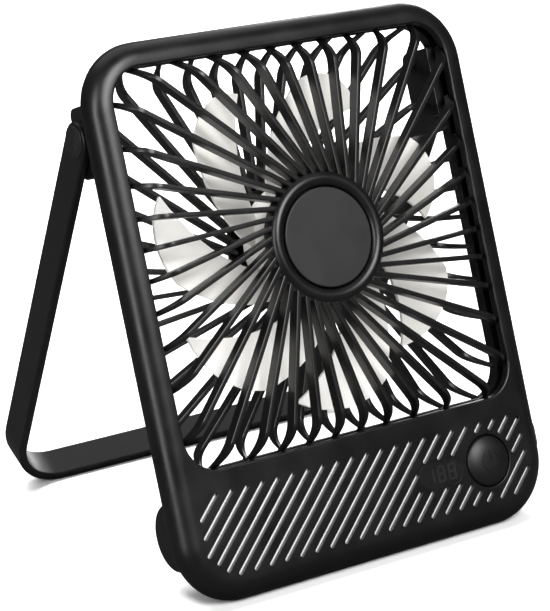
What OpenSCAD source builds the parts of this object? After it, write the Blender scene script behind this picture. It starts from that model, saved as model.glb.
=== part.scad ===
/* [Front frame] */
// Width of the front frame
body_w = 150; // [136:1:190]
// Height of the front frame
body_h = 186; // [168:1:230]
// Depth of the frame, from its front face to its back edge
frame_d = 8; // [7.8:0.1:9]
// Width of the rim beside and above the opening
rim_w = 8.7; // [8:0.1:12]
// Height of the panel below the opening
panel_h = 44; // [40:0.5:60]
// Radius of the frame's four corners
corner_r = 22; // [18:0.5:28]
// Radius of the opening's four corners
opening_r = 12; // [8:0.5:15]
// Radius of the rolled front edge of the rim
roll_r = 7; // [4:0.25:7.5]
// Wall thickness of the front frame
wall = 1.4; // [1:0.1:2]

/* [Front grille] */
// Number of ribs in each grille
rib_count = 40; // [24:2:44]
// Thickness of a rib
rib_t = 1.7; // [1.2:0.1:2]
// Depth of a rib, front to back
rib_depth = 4.7; // [3:0.1:6]
// How far the front ribs stand in front of the frame
dome_front = 5.4; // [3:0.1:7]
// Radius of the circle that the line of every rib touches
rib_offset = 10.6; // [6:0.2:14]
// Outer radius of the raised hub ring
hub_ring_r = 22.3; // [19:0.1:26]
// Radius of the round disc in the hub ring
hub_disc_r = 16.9; // [14:0.1:18]

/* [Panel] */
// Width of a slanted slot in the panel
slot_w = 1.2; // [0.8:0.1:1.6]
// Distance between slots, measured along the panel
slot_pitch = 6; // [4:0.25:8]
// Half width of the slotted band
slot_band_half = 65.8; // [50:0.1:66]
// Radius of the power button
button_r = 8.8; // [6:0.1:10]
// Distance of the power button from the middle of the fan
button_x = 49.6; // [30:0.1:52]
// Height of the power button above the bottom edge
button_z = 22.9; // [20:0.1:26]
// How far the power button travels
button_travel = 0.4; // [0.2:0.05:0.5]

/* [Impeller] */
// Radius at the blade tips
impeller_r = 58.5; // [46:0.5:60]
// Number of blades
blade_count = 7; // [5:1:9]
// Thickness of a blade
blade_t = 1.3; // [0.9:0.1:1.8]
// Pitch of a blade
blade_pitch = 17; // [10:1:18]
// Radius of the impeller's hub
impeller_hub_r = 21; // [20.8:0.1:24]

/* [Rear housing] */
// Distance of the rear face of the rear ribs from the frame's front face
rear_d = 21.8; // [20.5:0.1:26]
// Outer radius of the battery tube
tube_r = 11.6; // [11.3:0.1:14]
// Height of the battery tube's axis above the bottom edge
tube_z = 24; // [22:0.1:30]
// Diameter of a battery cell
cell_d = 18.4; // [16:0.1:18.6]
// Length of a battery cell
cell_l = 65; // [50:0.5:66]

/* [Stand] */
// Angle between the stand and the back of the fan, as it stands
stand_angle = 45.2; // [30:0.2:60]
// Height of the hinge axis above the bottom edge
hinge_z = 157.7; // [140:0.1:200]
// Distance of the hinge axis behind the frame's front face
hinge_y = 16; // [15.8:0.1:18]
// Width of the stand's flat bar
bar_w = 12.9; // [10:0.1:13]
// Thickness of the stand's flat bar
bar_t = 3.1; // [2.6:0.1:4]
// Radius of the hinge pins
pin_r = 3; // [2:0.1:3.2]
// Depth to which the two edges that rest on the desk are flattened
foot_flat = 0.3; // [0.2:0.05:0.5]

/* [Hidden] */

$fn = 64;

// Clearances
fit = 0.02;
gap = 0.3;
button_gap = 0.35;

// The opening and the centre that both grilles and the impeller share
opening_w = body_w - 2 * rim_w;
opening_h = body_h - rim_w - panel_h;
hub_z = panel_h + opening_h / 2;
lip_d = 3.2;
lip_t = 1.5;

// The front grille
band_t = 1.6;
band_front = lip_d + 0.1;
plate_t = 1.5;
plate_front = frame_d - plate_t;
band_back = plate_front - 0.1;
grille_back = rib_depth - dome_front;
shoulder = 9;
rib_phase = 2.6;
rib_steps = 8;
ring_round = 2.5;
disc_t = 1.4;
disc_front = -dome_front - 0.35;
hub_plate_back = disc_front + disc_t + 1.6;

// The panel
band_low = 9.4;
band_high = 36.2;
clear_r = button_r + 2.5;
window_half = 4.6;
window_len = 18.4;
window_t = 1.1;
button_rise = 2.3;
accent_t = 0.5;
board_front = 5.2;
board_t = 1;

// Screw positions in x and z, each with the depth at which its boss begins
low_screw_x = body_w / 2 - 6.4;
low_screw_z = panel_h - 4.6;
high_screw_x = body_w / 2 - rim_w;
high_screw_z = body_h - rim_w;
screw_spots = [[-low_screw_x, low_screw_z, wall - 0.2], [low_screw_x, low_screw_z, wall - 0.2],
    [-high_screw_x, high_screw_z, 4.3], [high_screw_x, high_screw_z, 4.3]];
screw_hole_r = 0.85;
boss_r = 2.4;
board_spots = [[-24, 12], [66, 12]];
board_boss_r = 2.2;

// The charging socket in the right-hand side wall
usb_y = 5.2;
usb_z = 27;
usb_round = 1.6;
usb_half = 2.9;

// The rear housing
plateau_y = frame_d + 3.4;
arm_in = body_w / 2 - bar_t;
block_out = arm_in - gap;
block_in = block_out - 8.6;
block_low = hinge_z - 13;
block_high = hinge_z + 11;
block_back = hinge_y + bar_w / 2 - 0.2;
tube_y = hinge_y;
tube_half = block_out - 2;
tube_wall = 1.6;
tube_edge = 1;
plateau_low = bar_t + 0.6;
motor_plate_r = 24;
motor_plate_t = 1.8;

// The motor
rotor_out = impeller_hub_r - 2.35;
rotor_wall = 1;
rotor_front = 3.3;
magnet_out = rotor_out - rotor_wall - fit;
magnet_in = magnet_out - 1.6;
stator_r = magnet_in - 0.5;
shaft_r = 1;
bearing_r = 3;
tube_out_r = 4.2;
motor_back = rear_d - motor_plate_t;
stator_front = 7;
stator_back = 12.5;
stator_teeth = 9;

// The impeller
impeller_front = 1.1;
impeller_back = 15.6;
blade_front = 1.6;
blade_back = 16.2;

// The hinge
bush_r = 4.5;
bush_len = 6;
head_r = 5.3;
head_t = 1.5;
head_proud = 0.5;
end_r = bar_w / 2;
stand_len = hinge_z;

// The lean of the fan on a level surface: the frame's bottom back edge and the stand's front corner
// both touch it.
foot_y = hinge_y + stand_len * sin(stand_angle) - end_r * cos(stand_angle);
foot_z = hinge_z - stand_len * cos(stand_angle) - end_r * sin(stand_angle);
lean = atan2(foot_z, foot_y - frame_d);
floor_z = foot_flat - frame_d * sin(lean);
back_y = hinge_y + stand_len * sin(stand_angle) + end_r * cos(stand_angle);
back_z = hinge_z - stand_len * cos(stand_angle) + end_r * sin(stand_angle);
reach_back = back_y * cos(lean) + back_z * sin(lean);
reach_front = roll_r * (cos(lean) + sin(lean) - 1);
middle_y = (reach_back + reach_front) / 2;

// Stands the fan up: the parts are drawn with their front face at y = 0 and their bottom edge at
// z = 0, then leaned back onto the surface.
module placed() {
    translate([0, -middle_y, -floor_z]) rotate([-lean, 0, 0]) children();
}

// Flattens the edge that the part stands on.
module standing() {
    difference() {
        placed() children();
        translate([-body_w, -body_h, -20]) cube([2 * body_w, 2 * body_h, 20]);
    }
}

// A flat outline in x and z becomes a solid from y0 to y1.
module slab(y0, y1) {
    translate([0, y1, 0]) rotate([90, 0, 0]) linear_extrude(y1 - y0) children();
}

// A solid turned about an axis along y. Its profile has the radius along x and the depth along y.
module turned() {
    rotate([-90, 0, 0]) rotate_extrude($fn = 128) children();
}

module ring_section(r0, r1, y0, y1) {
    translate([r0, y0]) square([r1 - r0, y1 - y0]);
}

module tube_y(r0, r1, y0, y1) {
    turned() ring_section(r0, r1, y0, y1);
}

// A rounded rectangle centred on x = 0, from z0 to z1.
module rounded(w, z0, z1, r) {
    translate([-w / 2 + r, z0]) square([w - 2 * r, z1 - z0]);
    translate([-w / 2, z0 + r]) square([w, z1 - z0 - 2 * r]);
    for (x = [-w / 2 + r, w / 2 - r], z = [z0 + r, z1 - r]) translate([x, z]) circle(r, $fn = 96);
}

module frame_outline(inset) {
    rounded(body_w - 2 * inset, inset, body_h - inset, corner_r - inset);
}

module opening_outline(grow) {
    rounded(opening_w + 2 * grow, panel_h - grow, body_h - rim_w + grow, opening_r + grow);
}

// Cross-section of the rolled rim: x is the distance outwards from the corner's centre.
module rim_section() {
    c = corner_r - roll_r;
    difference() {
        union() {
            translate([c, roll_r]) circle(roll_r, $fn = 96);
            translate([c, roll_r]) square([roll_r, frame_d - roll_r]);
        }
        translate([c, roll_r]) circle(roll_r - wall, $fn = 96);
        translate([c - roll_r - 1, -1]) square([roll_r + 1, frame_d + roll_r + 9]);
        translate([c - 1, roll_r]) square([roll_r - wall + 1, frame_d + roll_r]);
        translate([c - 1, frame_d]) square([roll_r + 2, 2 * roll_r]);
    }
}

module rim_side(length) {
    translate([0, 0, -length / 2]) linear_extrude(length) rim_section();
}

module rim() {
    cx = body_w / 2 - corner_r;
    cz = body_h / 2 - corner_r;
    translate([0, 0, body_h / 2]) {
        for (a = [0, 180]) rotate([0, a, 0]) translate([cx, 0, 0]) rim_side(2 * cz);
        for (a = [90, 270]) rotate([0, a, 0]) translate([cz, 0, 0]) rim_side(2 * cx);
        for (i = [0:3]) rotate([0, 90 * i, 0]) {
            reach_x = i % 2 == 0 ? cx : cz;
            reach_z = i % 2 == 0 ? cz : cx;
            translate([reach_x, 0, reach_z]) rotate([-90, 0, 0]) rotate([0, 0, -90])
                rotate_extrude(angle = 90, $fn = 96) rim_section();
        }
    }
}

// Slanted slots. Each runs up and to the right, and stops at the band's edge, around the button
// and around the window.
function band_start(c) = max(band_low, -slot_band_half - c, (c < -slot_band_half - band_low + 7)
    ? (-slot_band_half - c + band_low + 5.5) / 2 + 1.2 : band_low);
function band_end(c) = min(band_high, slot_band_half - c);
function disc_half(c) = let (d = (button_z + c - button_x) / sqrt(2))
    abs(d) < clear_r ? sqrt(clear_r * clear_r - d * d) / sqrt(2) : 0;
function disc_mid(c) = (button_z + button_x - c) / 2;
window_left = button_x - button_r - 2.4 - window_len;
function in_window(c) = c > window_left - button_z - window_half && c < button_x - button_z;
function clear_start(c) = min(disc_half(c) > 0 ? disc_mid(c) - disc_half(c) : 99,
    in_window(c) ? max(button_z - window_half - 0.9, window_left - c - 0.6) : 99);
function clear_end(c) = max(disc_half(c) > 0 ? disc_mid(c) + disc_half(c) : -99,
    in_window(c) ? button_z + window_half + 0.9 : -99);
slot_lines = [for (i = [0:24]) -slot_band_half - band_high + 7 + i * slot_pitch];
slot_spans = [for (c = slot_lines) let (a = band_start(c), b = band_end(c), m = clear_start(c),
    n = clear_end(c)) each (m > b || n < a ? [[c, a, b]] : [[c, a, min(b, m)], [c, max(a, n), b]])];

module slot(c, z0, z1) {
    translate([c + z0, z0]) circle(slot_w / 2, $fn = 24);
    translate([c + z1, z1]) circle(slot_w / 2, $fn = 24);
    translate([c + z0, z0]) rotate(45) translate([0, -slot_w / 2]) square([(z1 - z0) * sqrt(2), slot_w]);
}

module slots() {
    for (s = slot_spans) if (s[2] - s[1] > 0.6) slot(s[0], s[1], s[2]);
}

module window_outline(grow) {
    r = window_half + grow;
    for (x = [window_half, window_len - window_half]) translate([window_left + x, button_z])
        circle(r, $fn = 64);
    translate([window_left + window_half, button_z - r]) square([window_len - 2 * window_half, 2 * r]);
}

module front_frame() {
    color("#141414") standing() {
        difference() {
            union() {
                rim();
                slab(0, wall) difference() {
                    frame_outline(roll_r);
                    opening_outline(0);
                }
                slab(0, lip_d) difference() {
                    opening_outline(lip_t);
                    opening_outline(0);
                }
                for (p = screw_spots) translate([p[0], 0, p[1]])
                    tube_y(0, boss_r, p[2], plate_front - 0.1);
                for (p = board_spots) translate([p[0], 0, p[1]])
                    tube_y(0, board_boss_r, wall - 0.2, board_front - fit);
            }
            slab(-1, wall + 1) slots();
            slab(-1, window_t) window_outline(0);
            slab(window_t - 1, wall + 1) window_outline(-0.8);
            translate([button_x, 0, button_z]) tube_y(0, button_r + button_gap, -1, wall + 0.5);
            for (p = screw_spots) translate([p[0], 0, p[1]]) tube_y(0, screw_hole_r, 5, frame_d);
            for (p = board_spots) translate([p[0], 0, p[1]]) tube_y(0, screw_hole_r, 1.8, frame_d);
            usb_opening();
        }
    }
}

// Opening for the charging socket
module usb_opening() {
    translate([body_w / 2 - wall - 3, usb_y, usb_z]) rotate([0, 90, 0])
        linear_extrude(wall + 5) socket_outline(0.25);
}

module socket_outline(grow) {
    r = usb_round + grow;
    for (x = [-usb_half, usb_half]) translate([x, 0]) circle(r, $fn = 48);
    translate([-usb_half, -r]) square([2 * usb_half, 2 * r]);
}

// Depth of a rib's front edge at distance d from the wall: level, then rounded down to the wall.
function edge_drop(d, drop) = d >= shoulder ? 0 : drop * pow(1 - d / shoulder, 2);
function half_reach(a, b, w, h, r) = let (
    // distance along the line from a, in direction b, to the side of a rounded rectangle
    tx = b[0] > 0 ? (w - a[0]) / b[0] : b[0] < 0 ? (-w - a[0]) / b[0] : 9999,
    tz = b[1] > 0 ? (h - a[1]) / b[1] : b[1] < 0 ? (-h - a[1]) / b[1] : 9999,
    t = min(tx, tz),
    p = a + b * t,
    c = [sign(p[0]) * (w - r), sign(p[1]) * (h - r)],
    in_corner = abs(p[0]) > w - r && abs(p[1]) > h - r,
    f = a - c,
    m = f * b,
    q = m * m - f * f + r * r)
    in_corner && q > 0 ? -m + sqrt(q) : t;

function rib_foot(i) = let (a = i * 360 / rib_count + rib_phase) rib_offset * [cos(a), sin(a)];
function rib_dir(i) = let (a = i * 360 / rib_count + rib_phase) [-sin(a), cos(a)];

// Side view of a rib: x runs out along the rib, y is the depth.
module rib_side(start, reach, front, back, front_drop, back_drop, past) {
    outer = [for (k = [0:rib_steps]) let (d = shoulder * (1 - k / rib_steps))
        [reach - d, front + edge_drop(d, front_drop)]];
    inner = [for (k = [rib_steps:-1:0]) let (d = shoulder * (1 - k / rib_steps))
        [reach - d, back + edge_drop(d, back_drop)]];
    polygon(concat([[start, front]], outer, [[reach + past, front + front_drop],
        [reach + past, back + back_drop]], inner, [[start, back]]));
}

module rib(i, start, front, back, front_drop, back_drop, past) {
    a = i * 360 / rib_count + rib_phase;
    reach = half_reach(rib_foot(i), rib_dir(i), opening_w / 2, opening_h / 2, opening_r);
    rotate([0, -a, 0]) translate([rib_offset + rib_t / 2, 0, 0]) rotate([0, -90, 0])
        linear_extrude(rib_t) rib_side(start, reach, front, back, front_drop, back_drop, past);
}

module front_grille() {
    inner_start = sqrt(pow(hub_ring_r - 2.6, 2) - rib_offset * rib_offset);
    color("#151515") placed() {
        slab(band_front, band_back) difference() {
            opening_outline(band_t);
            opening_outline(0);
        }
        translate([0, 0, hub_z]) {
            difference() {
                for (i = [0:rib_count - 1])
                    rib(i, inner_start, -dome_front, grille_back, dome_front + band_front + 0.1,
                        band_back - grille_back - 0.6, 0.8);
                translate([0, 0, -hub_z]) slab(-dome_front - 1, band_front) difference() {
                    frame_outline(0);
                    opening_outline(-0.05);
                }
            }
            difference() {
                union() {
                    turned() translate([hub_ring_r - ring_round, -dome_front + 1.2])
                        circle(ring_round, $fn = 48);
                    tube_y(hub_ring_r - 2 * ring_round, hub_ring_r, -dome_front + 1.2, grille_back);
                    tube_y(0, hub_ring_r - ring_round, disc_front + disc_t + fit, hub_plate_back);
                }
                tube_y(0, hub_disc_r + 0.25, -dome_front - 5, disc_front + disc_t + fit);
            }
        }
    }
}

module hub_disc() {
    color("#1b1b1b") placed() translate([0, 0, hub_z])
        tube_y(0, hub_disc_r, disc_front, disc_front + disc_t);
}

module accent_plate() {
    color("#d0d2d4") placed() slab(wall + fit, wall + fit + accent_t) difference() {
        rounded(2 * slot_band_half + 2, band_low - 1.1, band_high + 1.1, 9.8);
        translate([window_left + 0.4, button_z - window_half]) square([window_len, 2 * window_half]);
        translate([button_x, button_z]) circle(button_r + 1.8, $fn = 96);
        for (p = board_spots) translate(p) circle(2.7, $fn = 32);
    }
}

module display_window() {
    color("#1a1a1c") placed() slab(0, window_t - fit) window_outline(-fit);
}

// Three seven-segment digits on a small light guide behind the window
module display_module() {
    digit_w = 3.2;
    digit_h = 5.4;
    pitch = 4.7;
    color("#e8e8e8") placed() difference() {
        slab(wall + 0.2, board_front - fit) translate([window_left + 1, button_z - 3.9])
            square([window_len - 2, 7.8]);
        for (i = [0:2]) translate([window_left + window_len / 2 + (i - 1) * pitch, 0, button_z])
            slab(wall - 1, wall + 0.5) difference() {
                translate([-digit_w / 2, -digit_h / 2]) square([digit_w, digit_h]);
                for (z = [-digit_h / 4, digit_h / 4]) translate([0, z])
                    square([digit_w - 1.2, digit_h / 2 - 1], center = true);
            }
    }
}

module control_board() {
    color("#1f4a2c") placed() slab(board_front, board_front + board_t) difference() {
        intersection() {
            translate([-30, 8.5]) square([body_w, 28.5]);
            frame_outline(wall + 1.2);
        }
        for (p = board_spots) translate(p) circle(1.1, $fn = 32);
        translate([body_w / 2 - wall - 6.9, usb_z - 5]) square([9, 10]);
        translate([screw_spots[1][0], screw_spots[1][1]]) circle(boss_r + 0.6, $fn = 32);
    }
}

// Switch that the button presses
module tact_switch() {
    color("#2a2a2a") placed() translate([button_x, 0, button_z]) {
        slab(board_front - 1.6, board_front - fit) square(6, center = true);
        tube_y(0, 1.6, board_front - 2.1, board_front - 1.5);
    }
}

module usb_socket() {
    color("#b8bcc0") placed() translate([body_w / 2 - wall - 6.6, usb_y, usb_z]) rotate([0, 90, 0])
        difference() {
            linear_extrude(wall + 6.2) socket_outline(0);
            translate([0, 0, 1]) linear_extrude(wall + 6.2) socket_outline(-0.35);
        }
}

// The tube across the lower back, with its two ends rounded off
module battery_tube() {
    translate([0, tube_y, tube_z]) rotate([0, 90, 0]) rotate_extrude($fn = 96) {
        translate([0, -tube_half]) square([tube_r - tube_edge, 2 * tube_half]);
        translate([0, tube_edge - tube_half]) square([tube_r, 2 * (tube_half - tube_edge)]);
        for (s = [-1, 1]) translate([tube_r - tube_edge, s * (tube_half - tube_edge)])
            circle(tube_edge, $fn = 32);
    }
}

// Room for the cells in the tube, open towards the front so that they can be laid in
module battery_trough() {
    r = tube_r - tube_wall;
    half = tube_half - tube_wall;
    translate([-half, tube_y, tube_z]) rotate([0, 90, 0]) cylinder(r = r, h = 2 * half, $fn = 96);
    translate([-half, plate_front - 1, tube_z - r]) cube([2 * half, tube_y - plate_front + 1, 2 * r]);
}

module hinge_block() {
    translate([block_in, plate_front, block_low])
        cube([block_out - block_in, block_back - 3 - plate_front, block_high - block_low]);
    translate([block_in, block_back - 3, block_low + 3])
        cube([block_out - block_in, 3, block_high - block_low - 6]);
    for (z = [block_low + 3, block_high - 3]) translate([block_in, block_back - 3, z]) rotate([0, 90, 0])
        cylinder(r = 3, h = block_out - block_in, $fn = 48);
}

// Rear housing: a plate inside the frame, a raised plateau, the rear ribs, the motor's plate, the
// hinge blocks and the battery tube.
module rear_housing() {
    inner_start = sqrt(pow(motor_plate_r - 1.5, 2) - rib_offset * rib_offset);
    rib_front = rear_d - rib_depth;
    color("#161616") placed() {
        difference() {
            union() {
                difference() {
                    union() {
                        slab(plate_front, frame_d) frame_outline(wall + 0.15);
                        slab(frame_d - 0.2, plateau_y)
                            rounded(2 * block_out, plateau_low, body_h - 4, corner_r - 4);
                    }
                    slab(plate_front - 1, plateau_y + 1) opening_outline(0);
                }
                translate([0, 0, hub_z]) scale([-1, 1, 1]) for (i = [0:rib_count - 1])
                    rib(i, inner_start, rib_front, rear_d, plateau_y - 3 - rib_front,
                        plateau_y - 0.5 - rear_d, 1);
                for (s = [-1, 1]) scale([s, 1, 1]) hinge_block();
                battery_tube();
            }
            battery_trough();
            translate([-tube_half - 1, -20, 0]) cube([2 * tube_half + 2, 20 + plate_front, panel_h]);
            for (p = screw_spots) translate([p[0], 0, p[1]]) {
                tube_y(0, screw_hole_r + 0.45, plate_front - 1, frame_d + 9);
                tube_y(0, 2.3, frame_d, frame_d + 9);
            }
            translate([body_w / 2 - wall - 7, plate_front - 1, usb_z - 5.3]) cube([20, 1.7, 10.6]);
            for (p = board_spots) translate([p[0], 0, p[1]])
                tube_y(0, 2.1, plate_front - 1, plate_front + 1);
            for (s = [-1, 1]) scale([s, 1, 1]) translate([block_in, hinge_y, hinge_z]) rotate([0, 90, 0]) {
                translate([0, 0, 1]) cylinder(r = bush_r + fit, h = 20, $fn = 64);
                translate([0, 0, -12]) cylinder(r = 5.9, h = 14.6, $fn = 64);
            }
        }
        translate([0, 0, hub_z]) {
            tube_y(tube_out_r + fit, motor_plate_r, motor_back, rear_d + 0.4);
            for (a = [30, 150, 270]) rotate([0, a, 0]) translate([10.5, 0, 0])
                tube_y(0, 1.5, stator_back + 3.6 + 1.2, motor_back + 0.2);
        }
    }
}

module battery_cells() {
    color("#2f6db5") placed() for (s = [-1, 1])
        translate([s * (cell_l / 2 + 0.6), tube_y, tube_z]) rotate([0, 90, 0])
            cylinder(d = cell_d, h = cell_l, center = true, $fn = 96);
}

// Nickel straps across the ends of the cells
module battery_straps() {
    color("#c9ccd0") placed() for (x = [-cell_l - 0.9, 0, cell_l + 0.9])
        translate([x, tube_y, tube_z]) cube([0.3, 6, 6], center = true);
}

module motor_board() {
    color("#1f4a2c") placed() translate([0, 0, hub_z])
        tube_y(tube_out_r + 0.3, stator_r - 2, stator_back + 3.6, stator_back + 4.8 - fit);
}

module bearing_tube() {
    color("#c2a45a") placed() translate([0, 0, hub_z])
        tube_y(bearing_r + fit, tube_out_r, 6, rear_d - 0.4);
}

module motor_bearings() {
    color("#b5b8bc") placed() translate([0, 0, hub_z]) {
        tube_y(shaft_r + 0.03, bearing_r, 6.2, 8.7);
        tube_y(shaft_r + 0.03, bearing_r, 14.2, 16.7);
    }
}

module stator_core() {
    tooth = 360 / stator_teeth;
    color("#8a8d90") placed() translate([0, 0, hub_z]) slab(stator_front, stator_back) difference() {
        union() {
            circle(7, $fn = 96);
            for (i = [0:stator_teeth - 1]) rotate(i * tooth) {
                translate([5, -1.1]) square([stator_r - 6, 2.2]);
                intersection() {
                    difference() {
                        circle(stator_r, $fn = 96);
                        circle(stator_r - 1.4, $fn = 96);
                    }
                    translate([0, -4]) square([stator_r + 1, 8]);
                }
            }
        }
        circle(tube_out_r + fit, $fn = 96);
    }
}

module stator_coils() {
    tooth = 360 / stator_teeth;
    depth = stator_back - stator_front;
    color("#a8592a") placed() translate([0, 0, hub_z]) for (i = [0:stator_teeth - 1])
        rotate([0, i * tooth, 0]) difference() {
            translate([8.1, stator_front - 1, -2.1]) cube([stator_r - 1.8 - 8.1, depth + 2, 4.2]);
            translate([8, stator_front - fit, -1.1 - fit])
                cube([stator_r, depth + 2 * fit, 2.2 + 2 * fit]);
        }
}

module housing_screws() {
    color("#3a3a3c") placed() for (p = screw_spots) translate([p[0], 0, p[1]]) {
        tube_y(0, screw_hole_r - fit, 5.2, frame_d + 0.2);
        difference() {
            tube_y(0, 1.9, frame_d + fit, frame_d + 1.3);
            for (a = [0, 90]) rotate([0, a, 0]) translate([-1.2, frame_d + 0.7, -0.2])
                cube([2.4, 2, 0.4]);
        }
    }
}

module board_screws() {
    color("#8e9194") placed() for (p = board_spots) translate([p[0], 0, p[1]]) {
        tube_y(0, screw_hole_r - fit, 2, board_front + board_t + 0.1);
        tube_y(0, 1.7, board_front + board_t + fit, board_front + board_t + 1);
    }
}

module friction_bushes() {
    color("#d9d4c4") placed() for (s = [-1, 1]) scale([s, 1, 1])
        translate([block_in + 2.6 + fit, hinge_y, hinge_z]) rotate([0, 90, 0]) difference() {
            cylinder(r = bush_r, h = bush_len - 2 * fit, $fn = 64);
            translate([0, 0, -1]) cylinder(r = pin_r + 0.04, h = 20, $fn = 64);
        }
}

module spring_washers() {
    color("#a0a3a6") placed() for (s = [-1, 1]) scale([s, 1, 1])
        translate([block_in + 2, hinge_y, hinge_z]) rotate([0, 90, 0]) difference() {
            cylinder(r = 5.4, h = 0.6 - fit, $fn = 64);
            translate([0, 0, -1]) cylinder(r = pin_r + 0.06, h = 3, $fn = 64);
        }
}

module power_button() {
    cap_r = (button_r * button_r + button_rise * button_rise) / (2 * button_rise);
    color("#1c1c1c") placed() translate([button_x, 0, button_z]) difference() {
        union() {
            intersection() {
                translate([0, cap_r - button_rise, 0]) sphere(cap_r, $fn = 128);
                tube_y(0, button_r, -button_rise - 1, 1.2);
            }
            tube_y(0, button_r - 1, 1, wall + 0.3);
            tube_y(0, button_r + 1.1, wall + 0.1, wall + 0.8);
            tube_y(0, 1.4, wall, board_front - 2.1 - button_travel - 0.1);
        }
        slab(-9, -button_rise + 0.35) power_symbol();
    }
}

// A broken ring with an upright stroke in its gap
module power_symbol() {
    difference() {
        circle(2.9, $fn = 64);
        circle(2.3, $fn = 64);
        translate([-1, 0]) square([2, 5]);
    }
    translate([-0.3, 0.6]) square([0.6, 3]);
}

// Blade seen from the front: a sickle that sweeps back as it runs out and ends in a rounded tip.
blade_steps = 10;
blade_root_r = impeller_hub_r - 1.2;
blade_reach = 0.9;
blade_lead_start = 18;
blade_trail_start = 50;
blade_sweep = 53;
tip_lead = blade_angle(blade_reach, blade_lead_start);
tip_trail = blade_angle(blade_reach, blade_trail_start);
tip_r = blade_radius(blade_reach);
function blade_radius(u) = blade_root_r + (impeller_r - blade_root_r) * u;
function blade_angle(u, start) = start - blade_sweep * pow(u, 0.75);
function blade_point(u, start) = let (a = blade_angle(u, start)) blade_radius(u) * [cos(a), sin(a)];
function tip_point(t) = let (a = tip_lead + (tip_trail - tip_lead) * t,
    r = tip_r + (impeller_r - tip_r) * (1 - pow(2 * t - 1, 2))) r * [cos(a), sin(a)];
blade_lead = [for (k = [0:blade_steps]) blade_point(blade_reach * k / blade_steps, blade_lead_start)];
blade_trail = [for (k = [blade_steps:-1:0]) blade_point(blade_reach * k / blade_steps, blade_trail_start)];
blade_tip = [for (k = [1:7]) tip_point(k / 8)];

module blade_outline() {
    polygon(concat(blade_lead, blade_tip, blade_trail));
}

// The blade is cut from a curved sheet that is tilted about an axis beside the hub.
blade_axis_turn = 35;
blade_axis_out = 23.8;
camber_r = 100;
module blade() {
    intersection() {
        slab(blade_front, blade_back) blade_outline();
        rotate([0, blade_axis_turn, 0]) translate([0, (blade_front + blade_back) / 2 - 1, blade_axis_out])
            rotate([blade_pitch, 0, 0]) translate([-5, camber_r - 1, 0]) rotate([0, 90, 0]) difference() {
                cylinder(r = camber_r + blade_t / 2, h = 75, $fn = 240);
                translate([0, 0, -1]) cylinder(r = camber_r - blade_t / 2, h = 77, $fn = 240);
            }
    }
}

module impeller() {
    round_r = 5;
    color("#f1efe9") placed() translate([0, 0, hub_z]) {
        difference() {
            union() {
                tube_y(0, impeller_hub_r - round_r, impeller_front, impeller_front + 2);
                tube_y(rotor_out + fit, impeller_hub_r, impeller_front + round_r, impeller_back);
                turned() intersection() {
                    translate([impeller_hub_r - round_r, impeller_front + round_r])
                        circle(round_r, $fn = 64);
                    translate([impeller_hub_r - round_r, impeller_front]) square([round_r, round_r]);
                }
            }
            tube_y(0, rotor_out + fit, rotor_front - fit, impeller_back + 1);
        }
        for (i = [0:blade_count - 1]) rotate([0, i * 360 / blade_count + 21.2, 0]) difference() {
            blade();
            tube_y(0, impeller_hub_r - 1, -20, 40);
        }
    }
}

module rotor_cup() {
    color("#9a9da0") placed() translate([0, 0, hub_z]) {
        tube_y(shaft_r + fit, rotor_out, rotor_front, rotor_front + rotor_wall);
        tube_y(rotor_out - rotor_wall, rotor_out, rotor_front, 14.6);
        tube_y(shaft_r + fit, 2.6, rotor_front, rotor_front + 2.4);
    }
}

module magnet_ring() {
    color("#46484a") placed() translate([0, 0, hub_z]) tube_y(magnet_in, magnet_out, 5.6, 14.2);
}

module motor_shaft() {
    color("#c8cacc") placed() translate([0, 0, hub_z]) tube_y(0, shaft_r, rotor_front + 0.1, 18.6);
}

// The stand is drawn folded, then turned back about the hinge axis.
module opened() {
    translate([0, hinge_y, hinge_z]) rotate([stand_angle, 0, 0]) translate([0, -hinge_y, -hinge_z])
        children();
}

arm_join = corner_r + 12;
module arm() {
    difference() {
        translate([arm_in, hinge_y, hinge_z]) rotate([90, 0, 90]) linear_extrude(bar_t) {
            circle(end_r, $fn = 96);
            translate([-end_r, arm_join - hinge_z]) square([2 * end_r, hinge_z - arm_join]);
        }
        translate([arm_in - 1, hinge_y, hinge_z]) rotate([0, 90, 0])
            cylinder(r = pin_r + fit, h = bar_t + 2, $fn = 64);
        translate([arm_in + bar_t - head_t + head_proud - fit, hinge_y, hinge_z]) rotate([0, 90, 0])
            cylinder(r = head_r + 0.05, h = bar_t, $fn = 64);
    }
}

module stand_bar() {
    color("#171717") standing() opened() {
        for (s = [-1, 1]) scale([s, 1, 1]) arm();
        slab(hinge_y - end_r, hinge_y + end_r) difference() {
            rounded(body_w, hinge_z - stand_len, hinge_z, corner_r);
            rounded(2 * arm_in, hinge_z - stand_len + bar_t, hinge_z + 20, corner_r - bar_t);
            translate([-body_w, arm_join]) square([2 * body_w, body_h]);
        }
    }
}

module hinge_pins() {
    head_in = body_w / 2 + head_proud - head_t;
    color("#202020") placed() opened() for (s = [-1, 1]) scale([s, 1, 1]) {
        translate([head_in, hinge_y, hinge_z]) rotate([0, 90, 0])
            cylinder(r = head_r, h = head_t, $fn = 64);
        translate([block_in + 0.6, hinge_y, hinge_z]) rotate([0, 90, 0])
            cylinder(r = pin_r, h = head_in - block_in, $fn = 64);
    }
}

module retaining_clips() {
    color("#8c8f92") placed() opened() for (s = [-1, 1]) scale([s, 1, 1])
        translate([block_in + 1.2, hinge_y, hinge_z]) rotate([0, 90, 0]) difference() {
            cylinder(r = 4.6, h = 0.7, $fn = 64);
            translate([0, 0, -1]) cylinder(r = pin_r + fit, h = 3, $fn = 64);
        }
}

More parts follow.
